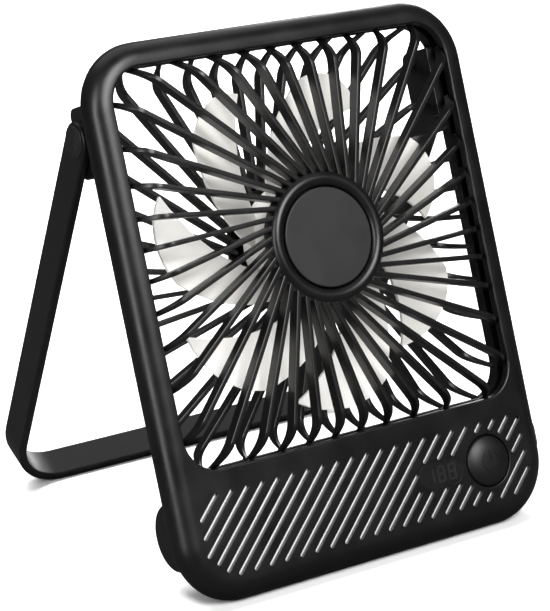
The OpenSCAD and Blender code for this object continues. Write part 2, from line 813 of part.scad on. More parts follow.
front_frame();
front_grille();
hub_disc();
accent_plate();
display_window();
display_module();
control_board();
tact_switch();
usb_socket();
rear_housing();
battery_cells();
battery_straps();
motor_board();
bearing_tube();
motor_bearings();
stator_core();
stator_coils();
housing_screws();
board_screws();
friction_bushes();
spring_washers();
power_button();
impeller();
rotor_cup();
magnet_ring();
motor_shaft();
stand_bar();
hinge_pins();
retaining_clips();
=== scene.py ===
"""Looks for the folding desk fan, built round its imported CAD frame."""

import math

import bmesh
import bpy
from mathutils import Matrix, Vector


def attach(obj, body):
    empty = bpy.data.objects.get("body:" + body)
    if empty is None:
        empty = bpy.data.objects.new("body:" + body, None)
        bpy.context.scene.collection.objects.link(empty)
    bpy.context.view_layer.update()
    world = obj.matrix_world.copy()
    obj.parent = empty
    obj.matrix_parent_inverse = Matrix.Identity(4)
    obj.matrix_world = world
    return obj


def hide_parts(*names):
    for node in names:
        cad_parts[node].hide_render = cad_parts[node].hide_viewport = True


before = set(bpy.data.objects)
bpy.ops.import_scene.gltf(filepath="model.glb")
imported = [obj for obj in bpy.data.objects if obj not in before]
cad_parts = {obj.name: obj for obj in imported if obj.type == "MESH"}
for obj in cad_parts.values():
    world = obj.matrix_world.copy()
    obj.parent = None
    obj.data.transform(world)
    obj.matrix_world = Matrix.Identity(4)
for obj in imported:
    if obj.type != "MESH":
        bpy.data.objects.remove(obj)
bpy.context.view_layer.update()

# Driving sizes in millimetres, as in the CAD source. The fan is drawn upright with its front face at
# y = 0 and its bottom edge at z = 0, and placed() leans it back onto the desk.
BODY_W, BODY_H, FRAME_D = 150.0, 186.0, 8.0
RIM_W, PANEL_H, WALL = 8.7, 44.0, 1.4
CORNER_R, OPENING_R, ROLL_R = 22.0, 12.0, 7.0
LIP_D, LIP_T = 3.2, 1.0
RIB_COUNT, RIB_T, RIB_DEPTH, RIB_OFFSET, RIB_PHASE = 40, 1.7, 4.7, 10.6, 2.6
DOME_FRONT, SHOULDER, RIB_EASE = 5.4, 9.0, 0.32
HUB_RING_R, HUB_DISC_R, RING_ROUND, DISC_PROUD, DISC_EDGE = 22.3, 16.9, 2.5, 0.35, 0.4
SLOT_W, SLOT_PITCH, SLOT_BAND_HALF = 1.2, 6.0, 65.8
BAND_LOW, BAND_HIGH = 9.4, 36.2
BUTTON_R, BUTTON_X, BUTTON_Z, BUTTON_CROWN, BUTTON_GAP = 8.8, 49.6, 22.9, 2.0, 0.35
SYMBOL_R, SYMBOL_W, SYMBOL_H, SYMBOL_GAP = 3.35, 0.9, 0.28, 30
WINDOW_HALF, WINDOW_LEN = 4.6, 18.4
DIGIT_W, DIGIT_H, DIGIT_PITCH, DIGIT_BAR = 2.6, 5.0, 4.6, 0.34
ACCENT_GAP, ACCENT_T, ACCENT_MARGIN, ACCENT_R, ACCENT_CLEAR = 0.02, 0.5, 1.1, 6.0, 1.8
REAR_D, PLATE_T, PLATEAU_RISE = 21.8, 1.5, 3.4
TUBE_R, TUBE_Z, MOTOR_PLATE_R = 11.6, 24.0, 24.0
STAND_ANGLE, HINGE_Y, HINGE_Z, BAR_W, BAR_T = 45.2, 16.0, 157.7, 12.9, 3.1
HEAD_R, HEAD_PROUD, FOOT_FLAT = 5.3, 0.5, 0.3
BLOCK_W, BLOCK_BELOW, BLOCK_ABOVE, BLOCK_ROUND = 8.6, 13, 11, 3

# Room left between the slots and the button or the window, and how short the outer slots are cut
SLOT_CLEAR, SLOT_WINDOW_CLEAR, SLOT_TRIM, SLOT_SHORTEST = 2.5, 0.9, 7, 0.6

OPENING_W = BODY_W - 2 * RIM_W
OPENING_H = BODY_H - RIM_W - PANEL_H
HUB_Z = PANEL_H + OPENING_H / 2
BAND_FRONT, BAND_BACK = LIP_D + 0.1, FRAME_D - PLATE_T - 0.1
PLATEAU_Y = FRAME_D + PLATEAU_RISE
WINDOW_LEFT = BUTTON_X - BUTTON_R - 2.4 - WINDOW_LEN
BLOCK_OUT = BODY_W / 2 - BAR_T - 0.3


def lean_and_shift():
    """The fan's lean on its stand, and the shift that puts it on the desk, centred front to back."""
    swing, end = math.radians(STAND_ANGLE), BAR_W / 2
    foot_y = HINGE_Y + HINGE_Z * math.sin(swing) - end * math.cos(swing)
    foot_z = HINGE_Z - HINGE_Z * math.cos(swing) - end * math.sin(swing)
    lean = math.atan2(foot_z, foot_y - FRAME_D)
    back_y = HINGE_Y + HINGE_Z * math.sin(swing) + end * math.cos(swing)
    back_z = HINGE_Z - HINGE_Z * math.cos(swing) + end * math.sin(swing)
    reach_back = back_y * math.cos(lean) + back_z * math.sin(lean)
    reach_front = ROLL_R * (math.cos(lean) + math.sin(lean) - 1)
    floor_z = FOOT_FLAT - FRAME_D * math.sin(lean)
    return lean, -(reach_back + reach_front) / 2, -floor_z


LEAN, SHIFT_Y, SHIFT_Z = lean_and_shift()
PLACED = (Matrix.Scale(0.001, 4) @ Matrix.Translation((0, SHIFT_Y, SHIFT_Z))
          @ Matrix.Rotation(-LEAN, 4, "X"))
HINGE = Matrix.Translation((0, HINGE_Y, HINGE_Z))
OPENED = PLACED @ HINGE @ Matrix.Rotation(math.radians(STAND_ANGLE), 4, "X") @ HINGE.inverted()
AT_HUB = PLACED @ Matrix.Translation((0, 0, HUB_Z))


# ---------------------------------------------------------------- materials

def linear(hex_colour):
    """A hex sRGB colour as linear RGBA."""
    parts = [int(hex_colour[i:i + 2], 16) / 255 for i in (1, 3, 5)]
    return [c / 12.92 if c <= 0.04045 else ((c + 0.055) / 1.055) ** 2.4 for c in parts] + [1.0]


def add(tree, kind, links=None, **values):
    """Adds a node, sets its properties or sockets by name, and links its inputs."""
    n = tree.nodes.new(kind)
    for key, value in values.items():
        if key in n.inputs:
            n.inputs[key].default_value = value
        else:
            setattr(n, key, value)
    for socket, source in (links or {}).items():
        tree.links.new(source, n.inputs[socket])
    return n


def moulded(name, light, dark, rough, grain=0.18, bump=0.05, vary=0.06, blotch=14.0, metal=0.0, **shader):
    """Moulded or plated surface: mottled colour, fine grain in its bump and slightly uneven gloss."""
    mat = bpy.data.materials.new(name)
    mat.use_nodes = True
    tree = mat.node_tree
    tree.nodes.clear()
    place = add(tree, "ShaderNodeTexCoord").outputs["Object"]
    broad = add(tree, "ShaderNodeTexNoise", {"Vector": place}, Scale=1000 / blotch, Detail=4.0,
                Roughness=0.6)
    fine = add(tree, "ShaderNodeTexNoise", {"Vector": place}, Scale=1000 / grain, Detail=3.0,
               Roughness=0.65)
    tint = add(tree, "ShaderNodeValToRGB", {"Fac": broad.outputs["Fac"]})
    tint.color_ramp.elements[0].position, tint.color_ramp.elements[1].position = 0.32, 0.7
    tint.color_ramp.elements[0].color = linear(dark)
    tint.color_ramp.elements[1].color = linear(light)
    gloss = add(tree, "ShaderNodeMapRange", {"Value": broad.outputs["Fac"]})
    gloss.inputs["From Min"].default_value, gloss.inputs["From Max"].default_value = 0.3, 0.7
    gloss.inputs["To Min"].default_value, gloss.inputs["To Max"].default_value = rough - vary, rough + vary
    relief = add(tree, "ShaderNodeBump", {"Height": fine.outputs["Fac"]}, Strength=0.35,
                 Distance=bump / 1000)
    bsdf = add(tree, "ShaderNodeBsdfPrincipled", {"Base Color": tint.outputs["Color"],
               "Roughness": gloss.outputs["Result"], "Normal": relief.outputs["Normal"]},
               Metallic=metal, **shader)
    add(tree, "ShaderNodeOutputMaterial", {"Surface": bsdf.outputs["BSDF"]})
    return mat


def brushed(name, light, dark, rough, along=(1, 1, 24), metal=1.0):
    """Rolled metal: fine parallel lines in colour, gloss and bump."""
    mat = bpy.data.materials.new(name)
    mat.use_nodes = True
    tree = mat.node_tree
    tree.nodes.clear()
    place = add(tree, "ShaderNodeTexCoord").outputs["Object"]
    stretched = add(tree, "ShaderNodeMapping", {"Vector": place}, Scale=along)
    lines = add(tree, "ShaderNodeTexNoise", {"Vector": stretched.outputs["Vector"]}, Scale=160.0,
                Detail=5.0)
    tint = add(tree, "ShaderNodeValToRGB", {"Fac": lines.outputs["Fac"]})
    tint.color_ramp.elements[0].position, tint.color_ramp.elements[1].position = 0.3, 0.72
    tint.color_ramp.elements[0].color = linear(dark)
    tint.color_ramp.elements[1].color = linear(light)
    gloss = add(tree, "ShaderNodeMapRange", {"Value": lines.outputs["Fac"]})
    gloss.inputs["To Min"].default_value, gloss.inputs["To Max"].default_value = rough - 0.08, rough + 0.1
    relief = add(tree, "ShaderNodeBump", {"Height": lines.outputs["Fac"]}, Strength=0.2, Distance=0.00004)
    bsdf = add(tree, "ShaderNodeBsdfPrincipled", {"Base Color": tint.outputs["Color"],
               "Roughness": gloss.outputs["Result"], "Normal": relief.outputs["Normal"]}, Metallic=metal)
    add(tree, "ShaderNodeOutputMaterial", {"Surface": bsdf.outputs["BSDF"]})
    return mat


# Satin black ABS with the fine texture of a spark-eroded mould: frame, grilles, housing and stand
SATIN_BLACK = moulded("satin_black_abs", "#0d0c0c", "#090808", 0.33)
# The hub disc and pin heads, moulded with a coarser, more matt texture
MATT_BLACK = moulded("matt_black_abs", "#1e1d1e", "#171617", 0.48, grain=0.24, bump=0.09)
# The power button, smoother than the frame round it
BUTTON_BLACK = moulded("button_black_abs", "#0e0d0d", "#0a0a0a", 0.42, bump=0.02, vary=0.03)
# Smoked acrylic over the digits
SMOKED = moulded("smoked_acrylic", "#131313", "#0e0e0f", 0.3, bump=0.01, vary=0.03)
# Unlit digit segments seen through the smoked window
DIGIT_GREY = moulded("unlit_digit", "#242324", "#201f20", 0.3, bump=0.01)
# Bright rolled aluminium behind the slots
SILVER = brushed("bright_aluminium", "#fbfbfa", "#eeeeed", 0.34, metal=0.35)
# Impeller: ivory ABS
IVORY = moulded("ivory_abs", "#f4f3ef", "#eeece6", 0.38, blotch=30.0, bump=0.03)
# Plated steel of pins, clips, shaft, cup and socket
STEEL = brushed("plated_steel", "#c4c7ca", "#9fa2a6", 0.32)
# Nickel strap on the cells
NICKEL = brushed("nickel_strip", "#cfd1d2", "#b4b7ba", 0.3, along=(24, 1, 1))
# Turned brass tube that carries the motor's bearings
BRASS = brushed("turned_brass", "#d0b066", "#ae8f49", 0.28)
# Enamelled copper windings
COPPER = moulded("enamelled_copper", "#b86436", "#8f4a26", 0.3, grain=0.5, bump=0.12, blotch=3.0)
# Bonded ferrite ring
FERRITE = moulded("bonded_ferrite", "#4a4c4e", "#3c3d3f", 0.6, grain=0.3, bump=0.1)
# Green solder resist on the boards
SOLDER_RESIST = moulded("green_solder_resist", "#245a35", "#1b4528", 0.28, grain=0.6, bump=0.03)
# Shrink sleeve round the cells
SLEEVE = moulded("blue_shrink_sleeve", "#3674bd", "#2a5f9f", 0.3, grain=0.9, bump=0.06)
# Natural nylon bushes and the white light guide
NYLON = moulded("natural_nylon", "#e4e0d2", "#d2ccba", 0.45)
# Black oxide on the screws
BLACK_OXIDE = moulded("black_oxide_steel", "#303034", "#232326", 0.38, metal=0.8, grain=0.12)
# Black nylon switch
BLACK_NYLON = moulded("black_nylon", "#2b2b2c", "#222223", 0.45)

NODE_FINISH = {
    "front_frame": SATIN_BLACK, "front_grille": SATIN_BLACK, "rear_housing": SATIN_BLACK,
    "stand_bar": SATIN_BLACK, "hub_disc": MATT_BLACK, "hinge_pins": MATT_BLACK,
    "power_button": BUTTON_BLACK, "display_window": SMOKED, "display_module": NYLON,
    "accent_plate": SILVER, "control_board": SOLDER_RESIST, "motor_board": SOLDER_RESIST,
    "tact_switch": BLACK_NYLON, "usb_socket": STEEL, "battery_cells": SLEEVE,
    "battery_straps": NICKEL, "bearing_tube": BRASS, "motor_bearings": STEEL, "stator_core": STEEL,
    "stator_coils": COPPER, "housing_screws": BLACK_OXIDE, "board_screws": STEEL,
    "friction_bushes": NYLON, "spring_washers": STEEL, "impeller": IVORY, "rotor_cup": STEEL,
    "magnet_ring": FERRITE, "motor_shaft": STEEL, "retaining_clips": STEEL,
}
for node_name, finish in NODE_FINISH.items():
    node_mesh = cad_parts[node_name].data
    node_mesh.materials.clear()
    node_mesh.materials.append(finish)


# ---------------------------------------------------------------- making pieces

def piece(name, bm, place, finish, body, node=None, angle=35, foot=False):
    """Turns a finished bmesh into a piece that rides on a body, and stands for a node if one is named.

    foot flattens what would reach below the desk."""
    bmesh.ops.remove_doubles(bm, verts=bm.verts, dist=0.0005)
    bmesh.ops.recalc_face_normals(bm, faces=bm.faces)
    bmesh.ops.transform(bm, matrix=place, verts=bm.verts)
    for v in bm.verts:
        if foot and v.co.z < 0:
            v.co.z = 0
    mesh = bpy.data.meshes.new(name)
    bm.to_mesh(mesh)
    bm.free()
    mesh.materials.append(finish)
    for face in mesh.polygons:
        face.use_smooth = True
    mesh.set_sharp_from_angle(angle=math.radians(angle))
    obj = bpy.data.objects.new(name, mesh)
    bpy.context.scene.collection.objects.link(obj)
    even = obj.modifiers.new("even shading", "WEIGHTED_NORMAL")
    even.keep_sharp = True
    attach(obj, body)
    if node:
        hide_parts(node)
    return obj


def round_rect(width, low, high, radius, grow=0.0, steps=14):
    """Outline of a rounded rectangle centred on x = 0, as corner arcs. grow moves it outwards."""
    points = []
    for i, (sx, sz) in enumerate([(1, 1), (-1, 1), (-1, -1), (1, -1)]):
        cx = sx * (width / 2 - radius)
        cz = high - radius if sz > 0 else low + radius
        for k in range(steps + 1):
            a = math.radians(90 * (i + k / steps))
            points.append((cx + (radius + grow) * math.cos(a), cz + (radius + grow) * math.sin(a)))
    return points


def stadium(x0, z0, x1, z1, radius, steps=8):
    """Outline of a round-ended slot between two centres."""
    turn = math.atan2(z1 - z0, x1 - x0)
    points = []
    for cx, cz, start in ((x1, z1, turn - math.pi / 2), (x0, z0, turn + math.pi / 2)):
        for k in range(steps + 1):
            a = start + math.pi * k / steps
            points.append((cx + radius * math.cos(a), cz + radius * math.sin(a)))
    return points


def disc_outline(cx, cz, radius, steps=96):
    """Outline of a circle."""
    turns = [2 * math.pi * k / steps for k in range(steps)]
    return [(cx + radius * math.cos(a), cz + radius * math.sin(a)) for a in turns]


def ring(bm, points, y):
    """A closed loop of edges through (x, z) points at depth y."""
    verts = [bm.verts.new((x, y, z)) for x, z in points]
    return [bm.edges.new((verts[i - 1], verts[i])) for i in range(len(verts))]


def walls(bm, outline, profile):
    """Walls that follow an outline. profile lists (grow, depth) steps. Returns the first and last loops."""
    loops = [ring(bm, outline(grow), y) for grow, y in profile]
    for a, b in zip(loops, loops[1:]):
        bmesh.ops.bridge_loops(bm, edges=a + b)
    return loops[0], loops[-1]


def arc(cx, cy, radius, start, end, steps):
    """Points of an arc in a profile, from start to end in degrees."""
    turns = [math.radians(start + (end - start) * k / steps) for k in range(steps + 1)]
    return [(cx + radius * math.cos(a), cy + radius * math.sin(a)) for a in turns]


def merge(bm, part):
    """Moves a finished part into bm."""
    made = bpy.data.meshes.new("part")
    part.to_mesh(made)
    part.free()
    bm.from_mesh(made)
    bpy.data.meshes.remove(made)


def lathe(bm, profile, steps=128):
    """Turns a profile of (radius, depth) points about the y axis. Points on the axis close the shape."""
    verts = [bm.verts.new((r, y, 0)) for r, y in profile]
    edges = [bm.edges.new(pair) for pair in zip(verts, verts[1:])]
    bmesh.ops.spin(bm, geom=verts + edges, cent=(0, 0, 0), axis=(0, 1, 0), angle=2 * math.pi, steps=steps,
                   use_merge=True)
    bmesh.ops.remove_doubles(bm, verts=bm.verts, dist=0.0005)


# ---------------------------------------------------------------- front frame

def slot_spans():
    """The slanted slots: each is (offset, z start, z end), cut short round the button and the window."""
    clear_r = BUTTON_R + SLOT_CLEAR
    spans = []
    for i in range(25):
        c = -SLOT_BAND_HALF - BAND_HIGH + SLOT_TRIM + i * SLOT_PITCH
        a = max(BAND_LOW, -SLOT_BAND_HALF - c)
        if c < -SLOT_BAND_HALF - BAND_LOW + SLOT_TRIM:
            a = max(a, (-SLOT_BAND_HALF - c + BAND_LOW + 5.5) / 2 + 1.2)
        b = min(BAND_HIGH, SLOT_BAND_HALF - c)
        off = (BUTTON_Z + c - BUTTON_X) / math.sqrt(2)
        starts, ends = [99], [-99]
        if abs(off) < clear_r:
            half = math.sqrt(clear_r ** 2 - off ** 2) / math.sqrt(2)
            middle = (BUTTON_Z + BUTTON_X - c) / 2
            starts.append(middle - half)
            ends.append(middle + half)
        if WINDOW_LEFT - BUTTON_Z - WINDOW_HALF < c < BUTTON_X - BUTTON_Z:
            starts.append(max(BUTTON_Z - WINDOW_HALF - SLOT_WINDOW_CLEAR, WINDOW_LEFT - c - 0.6))
            ends.append(BUTTON_Z + WINDOW_HALF + SLOT_WINDOW_CLEAR)
        m, n = min(starts), max(ends)
        for low, high in ([(a, b)] if m > b or n < a else [(a, min(b, m)), (max(a, n), b)]):
            if high - low > SLOT_SHORTEST:
                spans.append((c, low, high))
    return spans


def front_frame():
    bm = bmesh.new()
    frame_at = lambda grow: round_rect(BODY_W, 0, BODY_H, CORNER_R, grow)
    opening_at = lambda grow: round_rect(OPENING_W, PANEL_H, BODY_H - RIM_W, OPENING_R, grow)
    hole_at = lambda grow: disc_outline(BUTTON_X, BUTTON_Z, BUTTON_R + BUTTON_GAP + grow)
    window_at = lambda grow: stadium(WINDOW_LEFT + WINDOW_HALF, BUTTON_Z,
                                     WINDOW_LEFT + WINDOW_LEN - WINDOW_HALF, BUTTON_Z, WINDOW_HALF + grow, 16)
    roll = [(x - ROLL_R, y) for x, y in arc(0, ROLL_R, ROLL_R, -90, 0, 14)]
    inner = [(x - ROLL_R, y) for x, y in arc(0, ROLL_R, ROLL_R - WALL, 0, -90, 8)]
    rim = roll + [(0, FRAME_D - 0.35), (-0.1, FRAME_D - 0.1), (-0.35, FRAME_D)]
    rim += [(-WALL, FRAME_D - 0.2)] + inner
    soft = 0.7
    lip = [(soft + x, y) for x, y in arc(0, soft, soft, -90, -180, 5)]
    lip += [(0, LIP_D - 0.15), (LIP_T, LIP_D), (LIP_T, WALL)]
    fronts, backs = [], []
    holes = [(frame_at, rim), (opening_at, lip),
             (hole_at, [(0.45, 0), (0.13, 0.13), (0, 0.45), (0, WALL)]),
             (window_at, [(0.12, 0), (0.03, 0.03), (0, 0.12), (0, 1.05), (-0.8, 1.15), (-0.8, WALL)])]
    slot_edge = [(0.16, 0), (0.05, 0.05), (0, 0.16), (0, WALL)]
    for c, low, high in slot_spans():
        slot_at = lambda grow, c=c, low=low, high=high: stadium(c + low, low, c + high, high,
                                                                SLOT_W / 2 + grow, 6)
        holes.append((slot_at, slot_edge))
    for outline, profile in holes:
        first, last = walls(bm, outline, profile)
        fronts += first
        backs += last
    bmesh.ops.triangle_fill(bm, use_beauty=True, edges=fronts)
    bmesh.ops.triangle_fill(bm, use_beauty=True, edges=backs)
    return piece("frame_shell", bm, PLACED, SATIN_BLACK, "body", "front_frame", foot=True)


# ---------------------------------------------------------------- grilles

def reach(foot, heading, half_w, half_h, radius):
    """Distance from a point, along a heading, to the side of a rounded rectangle."""
    t = min(((math.copysign(h, d) - f) / d) for f, d, h in zip(foot, heading, (half_w, half_h)) if d)
    x, z = foot[0] + heading[0] * t, foot[1] + heading[1] * t
    if abs(x) > half_w - radius and abs(z) > half_h - radius:
        fx = foot[0] - math.copysign(half_w - radius, x)
        fz = foot[1] - math.copysign(half_h - radius, z)
        m = fx * heading[0] + fz * heading[1]
        q = m * m - fx * fx - fz * fz + radius * radius
        if q > 0:
            return -m + math.sqrt(q)
    return t


def rib(bm, index, start, front, back, front_drop, back_drop, past, mirrored=False):
    """One rib: its side view is drawn, thickened, and its long front and back edges are rounded."""
    a = math.radians(index * 360 / RIB_COUNT + RIB_PHASE)
    foot = (RIB_OFFSET * math.cos(a), RIB_OFFSET * math.sin(a))
    heading = (-math.sin(a), math.cos(a))
    length = reach(foot, heading, OPENING_W / 2, OPENING_H / 2, OPENING_R)
    steps = 10
    drop = [(length - SHOULDER * (1 - k / steps), (k / steps) ** 2) for k in range(steps + 1)]
    outer = [(start, front)] + [(s, front + front_drop * d) for s, d in drop]
    outer += [(length + past, front + front_drop)]
    inner = [(start, back)] + [(s, back + back_drop * d) for s, d in drop]
    inner += [(length + past, back + back_drop)]
    part = bmesh.new()
    verts = [part.verts.new((s, y, -RIB_T / 2)) for s, y in outer + inner[::-1]]
    side = part.faces.new(verts)
    grown = bmesh.ops.extrude_face_region(part, geom=[side])
    bmesh.ops.translate(part, verts=[g for g in grown["geom"] if isinstance(g, bmesh.types.BMVert)],
                        vec=(0, 0, RIB_T))
    long_edges = [e for e in part.edges
                  if abs(e.verts[0].co.z - e.verts[1].co.z) < 0.01
                  and abs(e.verts[0].co.x - e.verts[1].co.x) > 0.01]
    bmesh.ops.bevel(part, geom=long_edges, offset=RIB_EASE, segments=2, profile=0.5, affect="EDGES",
                    material=-1)
    turn = Matrix(((heading[0], 0, foot[0] / RIB_OFFSET, 0), (0, 1, 0, 0),
                   (heading[1], 0, foot[1] / RIB_OFFSET, 0), (0, 0, 0, 1)))
    bmesh.ops.transform(part, matrix=turn @ Matrix.Translation((0, 0, RIB_OFFSET)), verts=part.verts)
    if mirrored:
        bmesh.ops.transform(part, matrix=Matrix.Scale(-1, 4, (1, 0, 0)), verts=part.verts)
    bmesh.ops.recalc_face_normals(part, faces=part.faces)
    merge(bm, part)


def front_ribs():
    bm = bmesh.new()
    start = math.sqrt((HUB_RING_R - 2.6) ** 2 - RIB_OFFSET ** 2)
    for i in range(RIB_COUNT):
        rib(bm, i, start, -DOME_FRONT, RIB_DEPTH - DOME_FRONT, DOME_FRONT + BAND_FRONT + 0.1,
            BAND_BACK - (RIB_DEPTH - DOME_FRONT) - 0.6, 0.3)
    return piece("front_ribs", bm, AT_HUB, SATIN_BLACK, "body", "front_grille")


def hub_ring():
    """The raised ring that the ribs grow from, with the groove round the disc."""
    bm = bmesh.new()
    top = -DOME_FRONT + 1.2
    centre = HUB_RING_R - RING_ROUND
    profile = [(0, top + 1.5), (HUB_DISC_R + 0.25, top + 1.5)]
    profile += [(HUB_DISC_R + 0.25, top)] + arc(centre, top, RING_ROUND, -170, 0, 20)
    profile += [(HUB_RING_R, RIB_DEPTH - DOME_FRONT), (0, RIB_DEPTH - DOME_FRONT)]
    lathe(bm, profile)
    return piece("hub_ring", bm, AT_HUB, SATIN_BLACK, "body")


def hub_disc():
    bm = bmesh.new()
    front = -DOME_FRONT - DISC_PROUD
    edge = arc(HUB_DISC_R - DISC_EDGE, front + DISC_EDGE, DISC_EDGE, -90, 0, 4)
    lathe(bm, [(0, front)] + edge + [(HUB_DISC_R, front + 1.4), (0, front + 1.4)])
    return piece("hub_face", bm, AT_HUB, MATT_BLACK, "body", "hub_disc")


# ---------------------------------------------------------------- button and window

def button_face(x, z):
    """Depth of the button's face: nearly flat in the middle, falling away towards the edge."""
    return -BUTTON_CROWN * (1 - (math.hypot(x, z) / BUTTON_R) ** 3.0)


def power_button():
    bm = bmesh.new()
    dome = [((BUTTON_R - 0.3) * k / 20, button_face((BUTTON_R - 0.3) * k / 20, 0)) for k in range(21)]
    skirt = [(BUTTON_R - 0.12, dome[-1][1] + 0.3), (BUTTON_R, dome[-1][1] + 0.6), (BUTTON_R, 1.2), (0, 1.2)]
    lathe(bm, dome + skirt, 96)
    place = PLACED @ Matrix.Translation((BUTTON_X, 0, BUTTON_Z))
    return piece("button_cap", bm, place, BUTTON_BLACK, "button", "power_button")


def stroke(bm, points, width, height, surface):
    """A raised flat stroke along (x, z) points, standing on a surface given as depth of (x, z)."""
    rows = []
    for i, (x, z) in enumerate(points):
        ax, az = points[max(i - 1, 0)]
        bx, bz = points[min(i + 1, len(points) - 1)]
        size = math.hypot(bx - ax, bz - az)
        nx, nz = -(bz - az) / size, (bx - ax) / size
        row = []
        for side, lift in ((-0.5, -0.05), (-0.36, height), (0.36, height), (0.5, -0.05)):
            px, pz = x + nx * width * side, z + nz * width * side
            row.append(bm.verts.new((px, surface(px, pz) - lift, pz)))
        rows.append([bm.edges.new(pair) for pair in zip(row, row[1:])])
    for a, b in zip(rows, rows[1:]):
        bmesh.ops.bridge_loops(bm, edges=a + b)


def power_symbol():
    """A broken ring with an upright stroke in its gap, moulded on the button's dome."""
    bm = bmesh.new()
    turns = [SYMBOL_GAP + (360 - 2 * SYMBOL_GAP) * k / 40 for k in range(41)]
    around = [(SYMBOL_R * math.sin(math.radians(a)), SYMBOL_R * math.cos(math.radians(a))) for a in turns]
    upright = [(0, 0.6 + 0.55 * k) for k in range(7)]
    stroke(bm, around, SYMBOL_W, SYMBOL_H, button_face)
    stroke(bm, upright, SYMBOL_W, SYMBOL_H, button_face)
    place = PLACED @ Matrix.Translation((BUTTON_X, 0, BUTTON_Z))
    return piece("button_symbol", bm, place, BUTTON_BLACK, "button", angle=60)


def display_digits():
    """Three unlit seven-segment digits that show faintly in the window."""
    bm = bmesh.new()
    digits = ("bc", "abcdefg", "abcdefg")
    w, h = DIGIT_W, DIGIT_H
    bars = {"a": (0, h / 2, 0), "g": (0, 0, 0), "d": (0, -h / 2, 0), "b": (w / 2, h / 4, 1),
            "c": (w / 2, -h / 4, 1), "e": (-w / 2, -h / 4, 1), "f": (-w / 2, h / 4, 1)}
    for i, shape in enumerate(digits):
        cx = WINDOW_LEFT + WINDOW_LEN / 2 + (i - 1) * DIGIT_PITCH
        for letter in shape:
            x, z, upright = bars[letter]
            half = (h / 2 - 0.6) / 2 if upright else (w - 0.6) / 2
            dx, dz = (0, half) if upright else (half, 0)
            outline = stadium(cx + x - dx, BUTTON_Z + z - dz, cx + x + dx, BUTTON_Z + z + dz,
                              DIGIT_BAR, 4)
            top = ring(bm, outline, -0.012)
            bmesh.ops.contextual_create(bm, geom=top)
    return piece("display_digits", bm, PLACED, DIGIT_GREY, "body")


def accent_plate():
    """The bright plate behind the slots, with its opening for the button."""
    bm = bmesh.new()
    plate_at = lambda grow: round_rect(2 * SLOT_BAND_HALF + 2, BAND_LOW - ACCENT_MARGIN,
                                       BAND_HIGH + ACCENT_MARGIN, ACCENT_R, grow)
    hole_at = lambda grow: disc_outline(BUTTON_X, BUTTON_Z, BUTTON_R + ACCENT_CLEAR + grow)
    front, back = WALL + ACCENT_GAP, WALL + ACCENT_GAP + ACCENT_T
    fronts, backs = [], []
    for outline in (plate_at, hole_at):
        first, last = walls(bm, outline, [(0, front), (0, back)])
        fronts += first
        backs += last
    bmesh.ops.triangle_fill(bm, use_beauty=True, edges=fronts)
    bmesh.ops.triangle_fill(bm, use_beauty=True, edges=backs)
    return piece("slot_backing", bm, PLACED, SILVER, "body", "accent_plate")


def display_window():
    bm = bmesh.new()
    outline = lambda grow: stadium(WINDOW_LEFT + WINDOW_HALF, BUTTON_Z,
                                   WINDOW_LEFT + WINDOW_LEN - WINDOW_HALF, BUTTON_Z, WINDOW_HALF + grow, 16)
    first, last = walls(bm, outline, [(-0.14, 0.0), (-0.05, 0.03), (-0.02, 0.12), (-0.02, 1.08)])
    bmesh.ops.contextual_create(bm, geom=first)
    bmesh.ops.contextual_create(bm, geom=last)
    return piece("window_lens", bm, PLACED, SMOKED, "body", "display_window")


# ---------------------------------------------------------------- rear housing

def rear_housing():
    bm = bmesh.new()
    plate_at = lambda grow: round_rect(BODY_W - 2 * WALL - 0.3, WALL + 0.15, BODY_H - WALL - 0.15,
                                       CORNER_R - WALL - 0.15, grow)
    raised_at = lambda grow: round_rect(2 * BLOCK_OUT, BAR_T + 0.6, BODY_H - 4, CORNER_R - 4, grow)
    opening_at = lambda grow: round_rect(OPENING_W, PANEL_H, BODY_H - RIM_W, OPENING_R, grow)
    plate_y = FRAME_D - PLATE_T
    bevel = [(0.5 * math.cos(t) - 0.5, PLATEAU_Y - 0.5 + 0.5 * math.sin(t)) for t in (0, 0.52, 1.05, 1.57)]
    front_out, plate_out = walls(bm, plate_at, [(0, plate_y), (0, FRAME_D - 0.2), (-0.2, FRAME_D)])
    raised_in, raised_out = walls(bm, raised_at, [(0, FRAME_D)] + bevel)
    inner = [(0.5 - 0.5 * math.cos(t), PLATEAU_Y - 0.5 + 0.5 * math.sin(t)) for t in (1.57, 1.05, 0.52, 0)]
    hole_back, hole_front = walls(bm, opening_at, inner + [(0, plate_y)])
    bmesh.ops.triangle_fill(bm, use_beauty=True, edges=plate_out + raised_in)
    bmesh.ops.triangle_fill(bm, use_beauty=True, edges=raised_out + hole_back)
    bmesh.ops.triangle_fill(bm, use_beauty=True, edges=front_out + hole_front)
    return piece("rear_plate", bm, PLACED, SATIN_BLACK, "body", "rear_housing")


def rear_ribs():
    bm = bmesh.new()
    start = math.sqrt((MOTOR_PLATE_R - 1.5) ** 2 - RIB_OFFSET ** 2)
    front = REAR_D - RIB_DEPTH
    for i in range(RIB_COUNT):
        rib(bm, i, start, front, REAR_D, PLATEAU_Y - 3 - front, PLATEAU_Y - 0.5 - REAR_D, 0.6, mirrored=True)
    return piece("rear_ribs", bm, AT_HUB, SATIN_BLACK, "body")


def motor_plate():
    bm = bmesh.new()
    back = REAR_D + 0.4
    bore = [(0, back - 1.5), (3.4, back - 1.5), (3.6, back - 1.3), (3.6, back - 0.2), (3.8, back)]
    edge = arc(MOTOR_PLATE_R - 0.8, back - 0.8, 0.8, 90, 0, 6)
    lathe(bm, bore + edge + [(MOTOR_PLATE_R, back - 2.2), (0, back - 2.2)])
    return piece("motor_plate", bm, AT_HUB, SATIN_BLACK, "body")


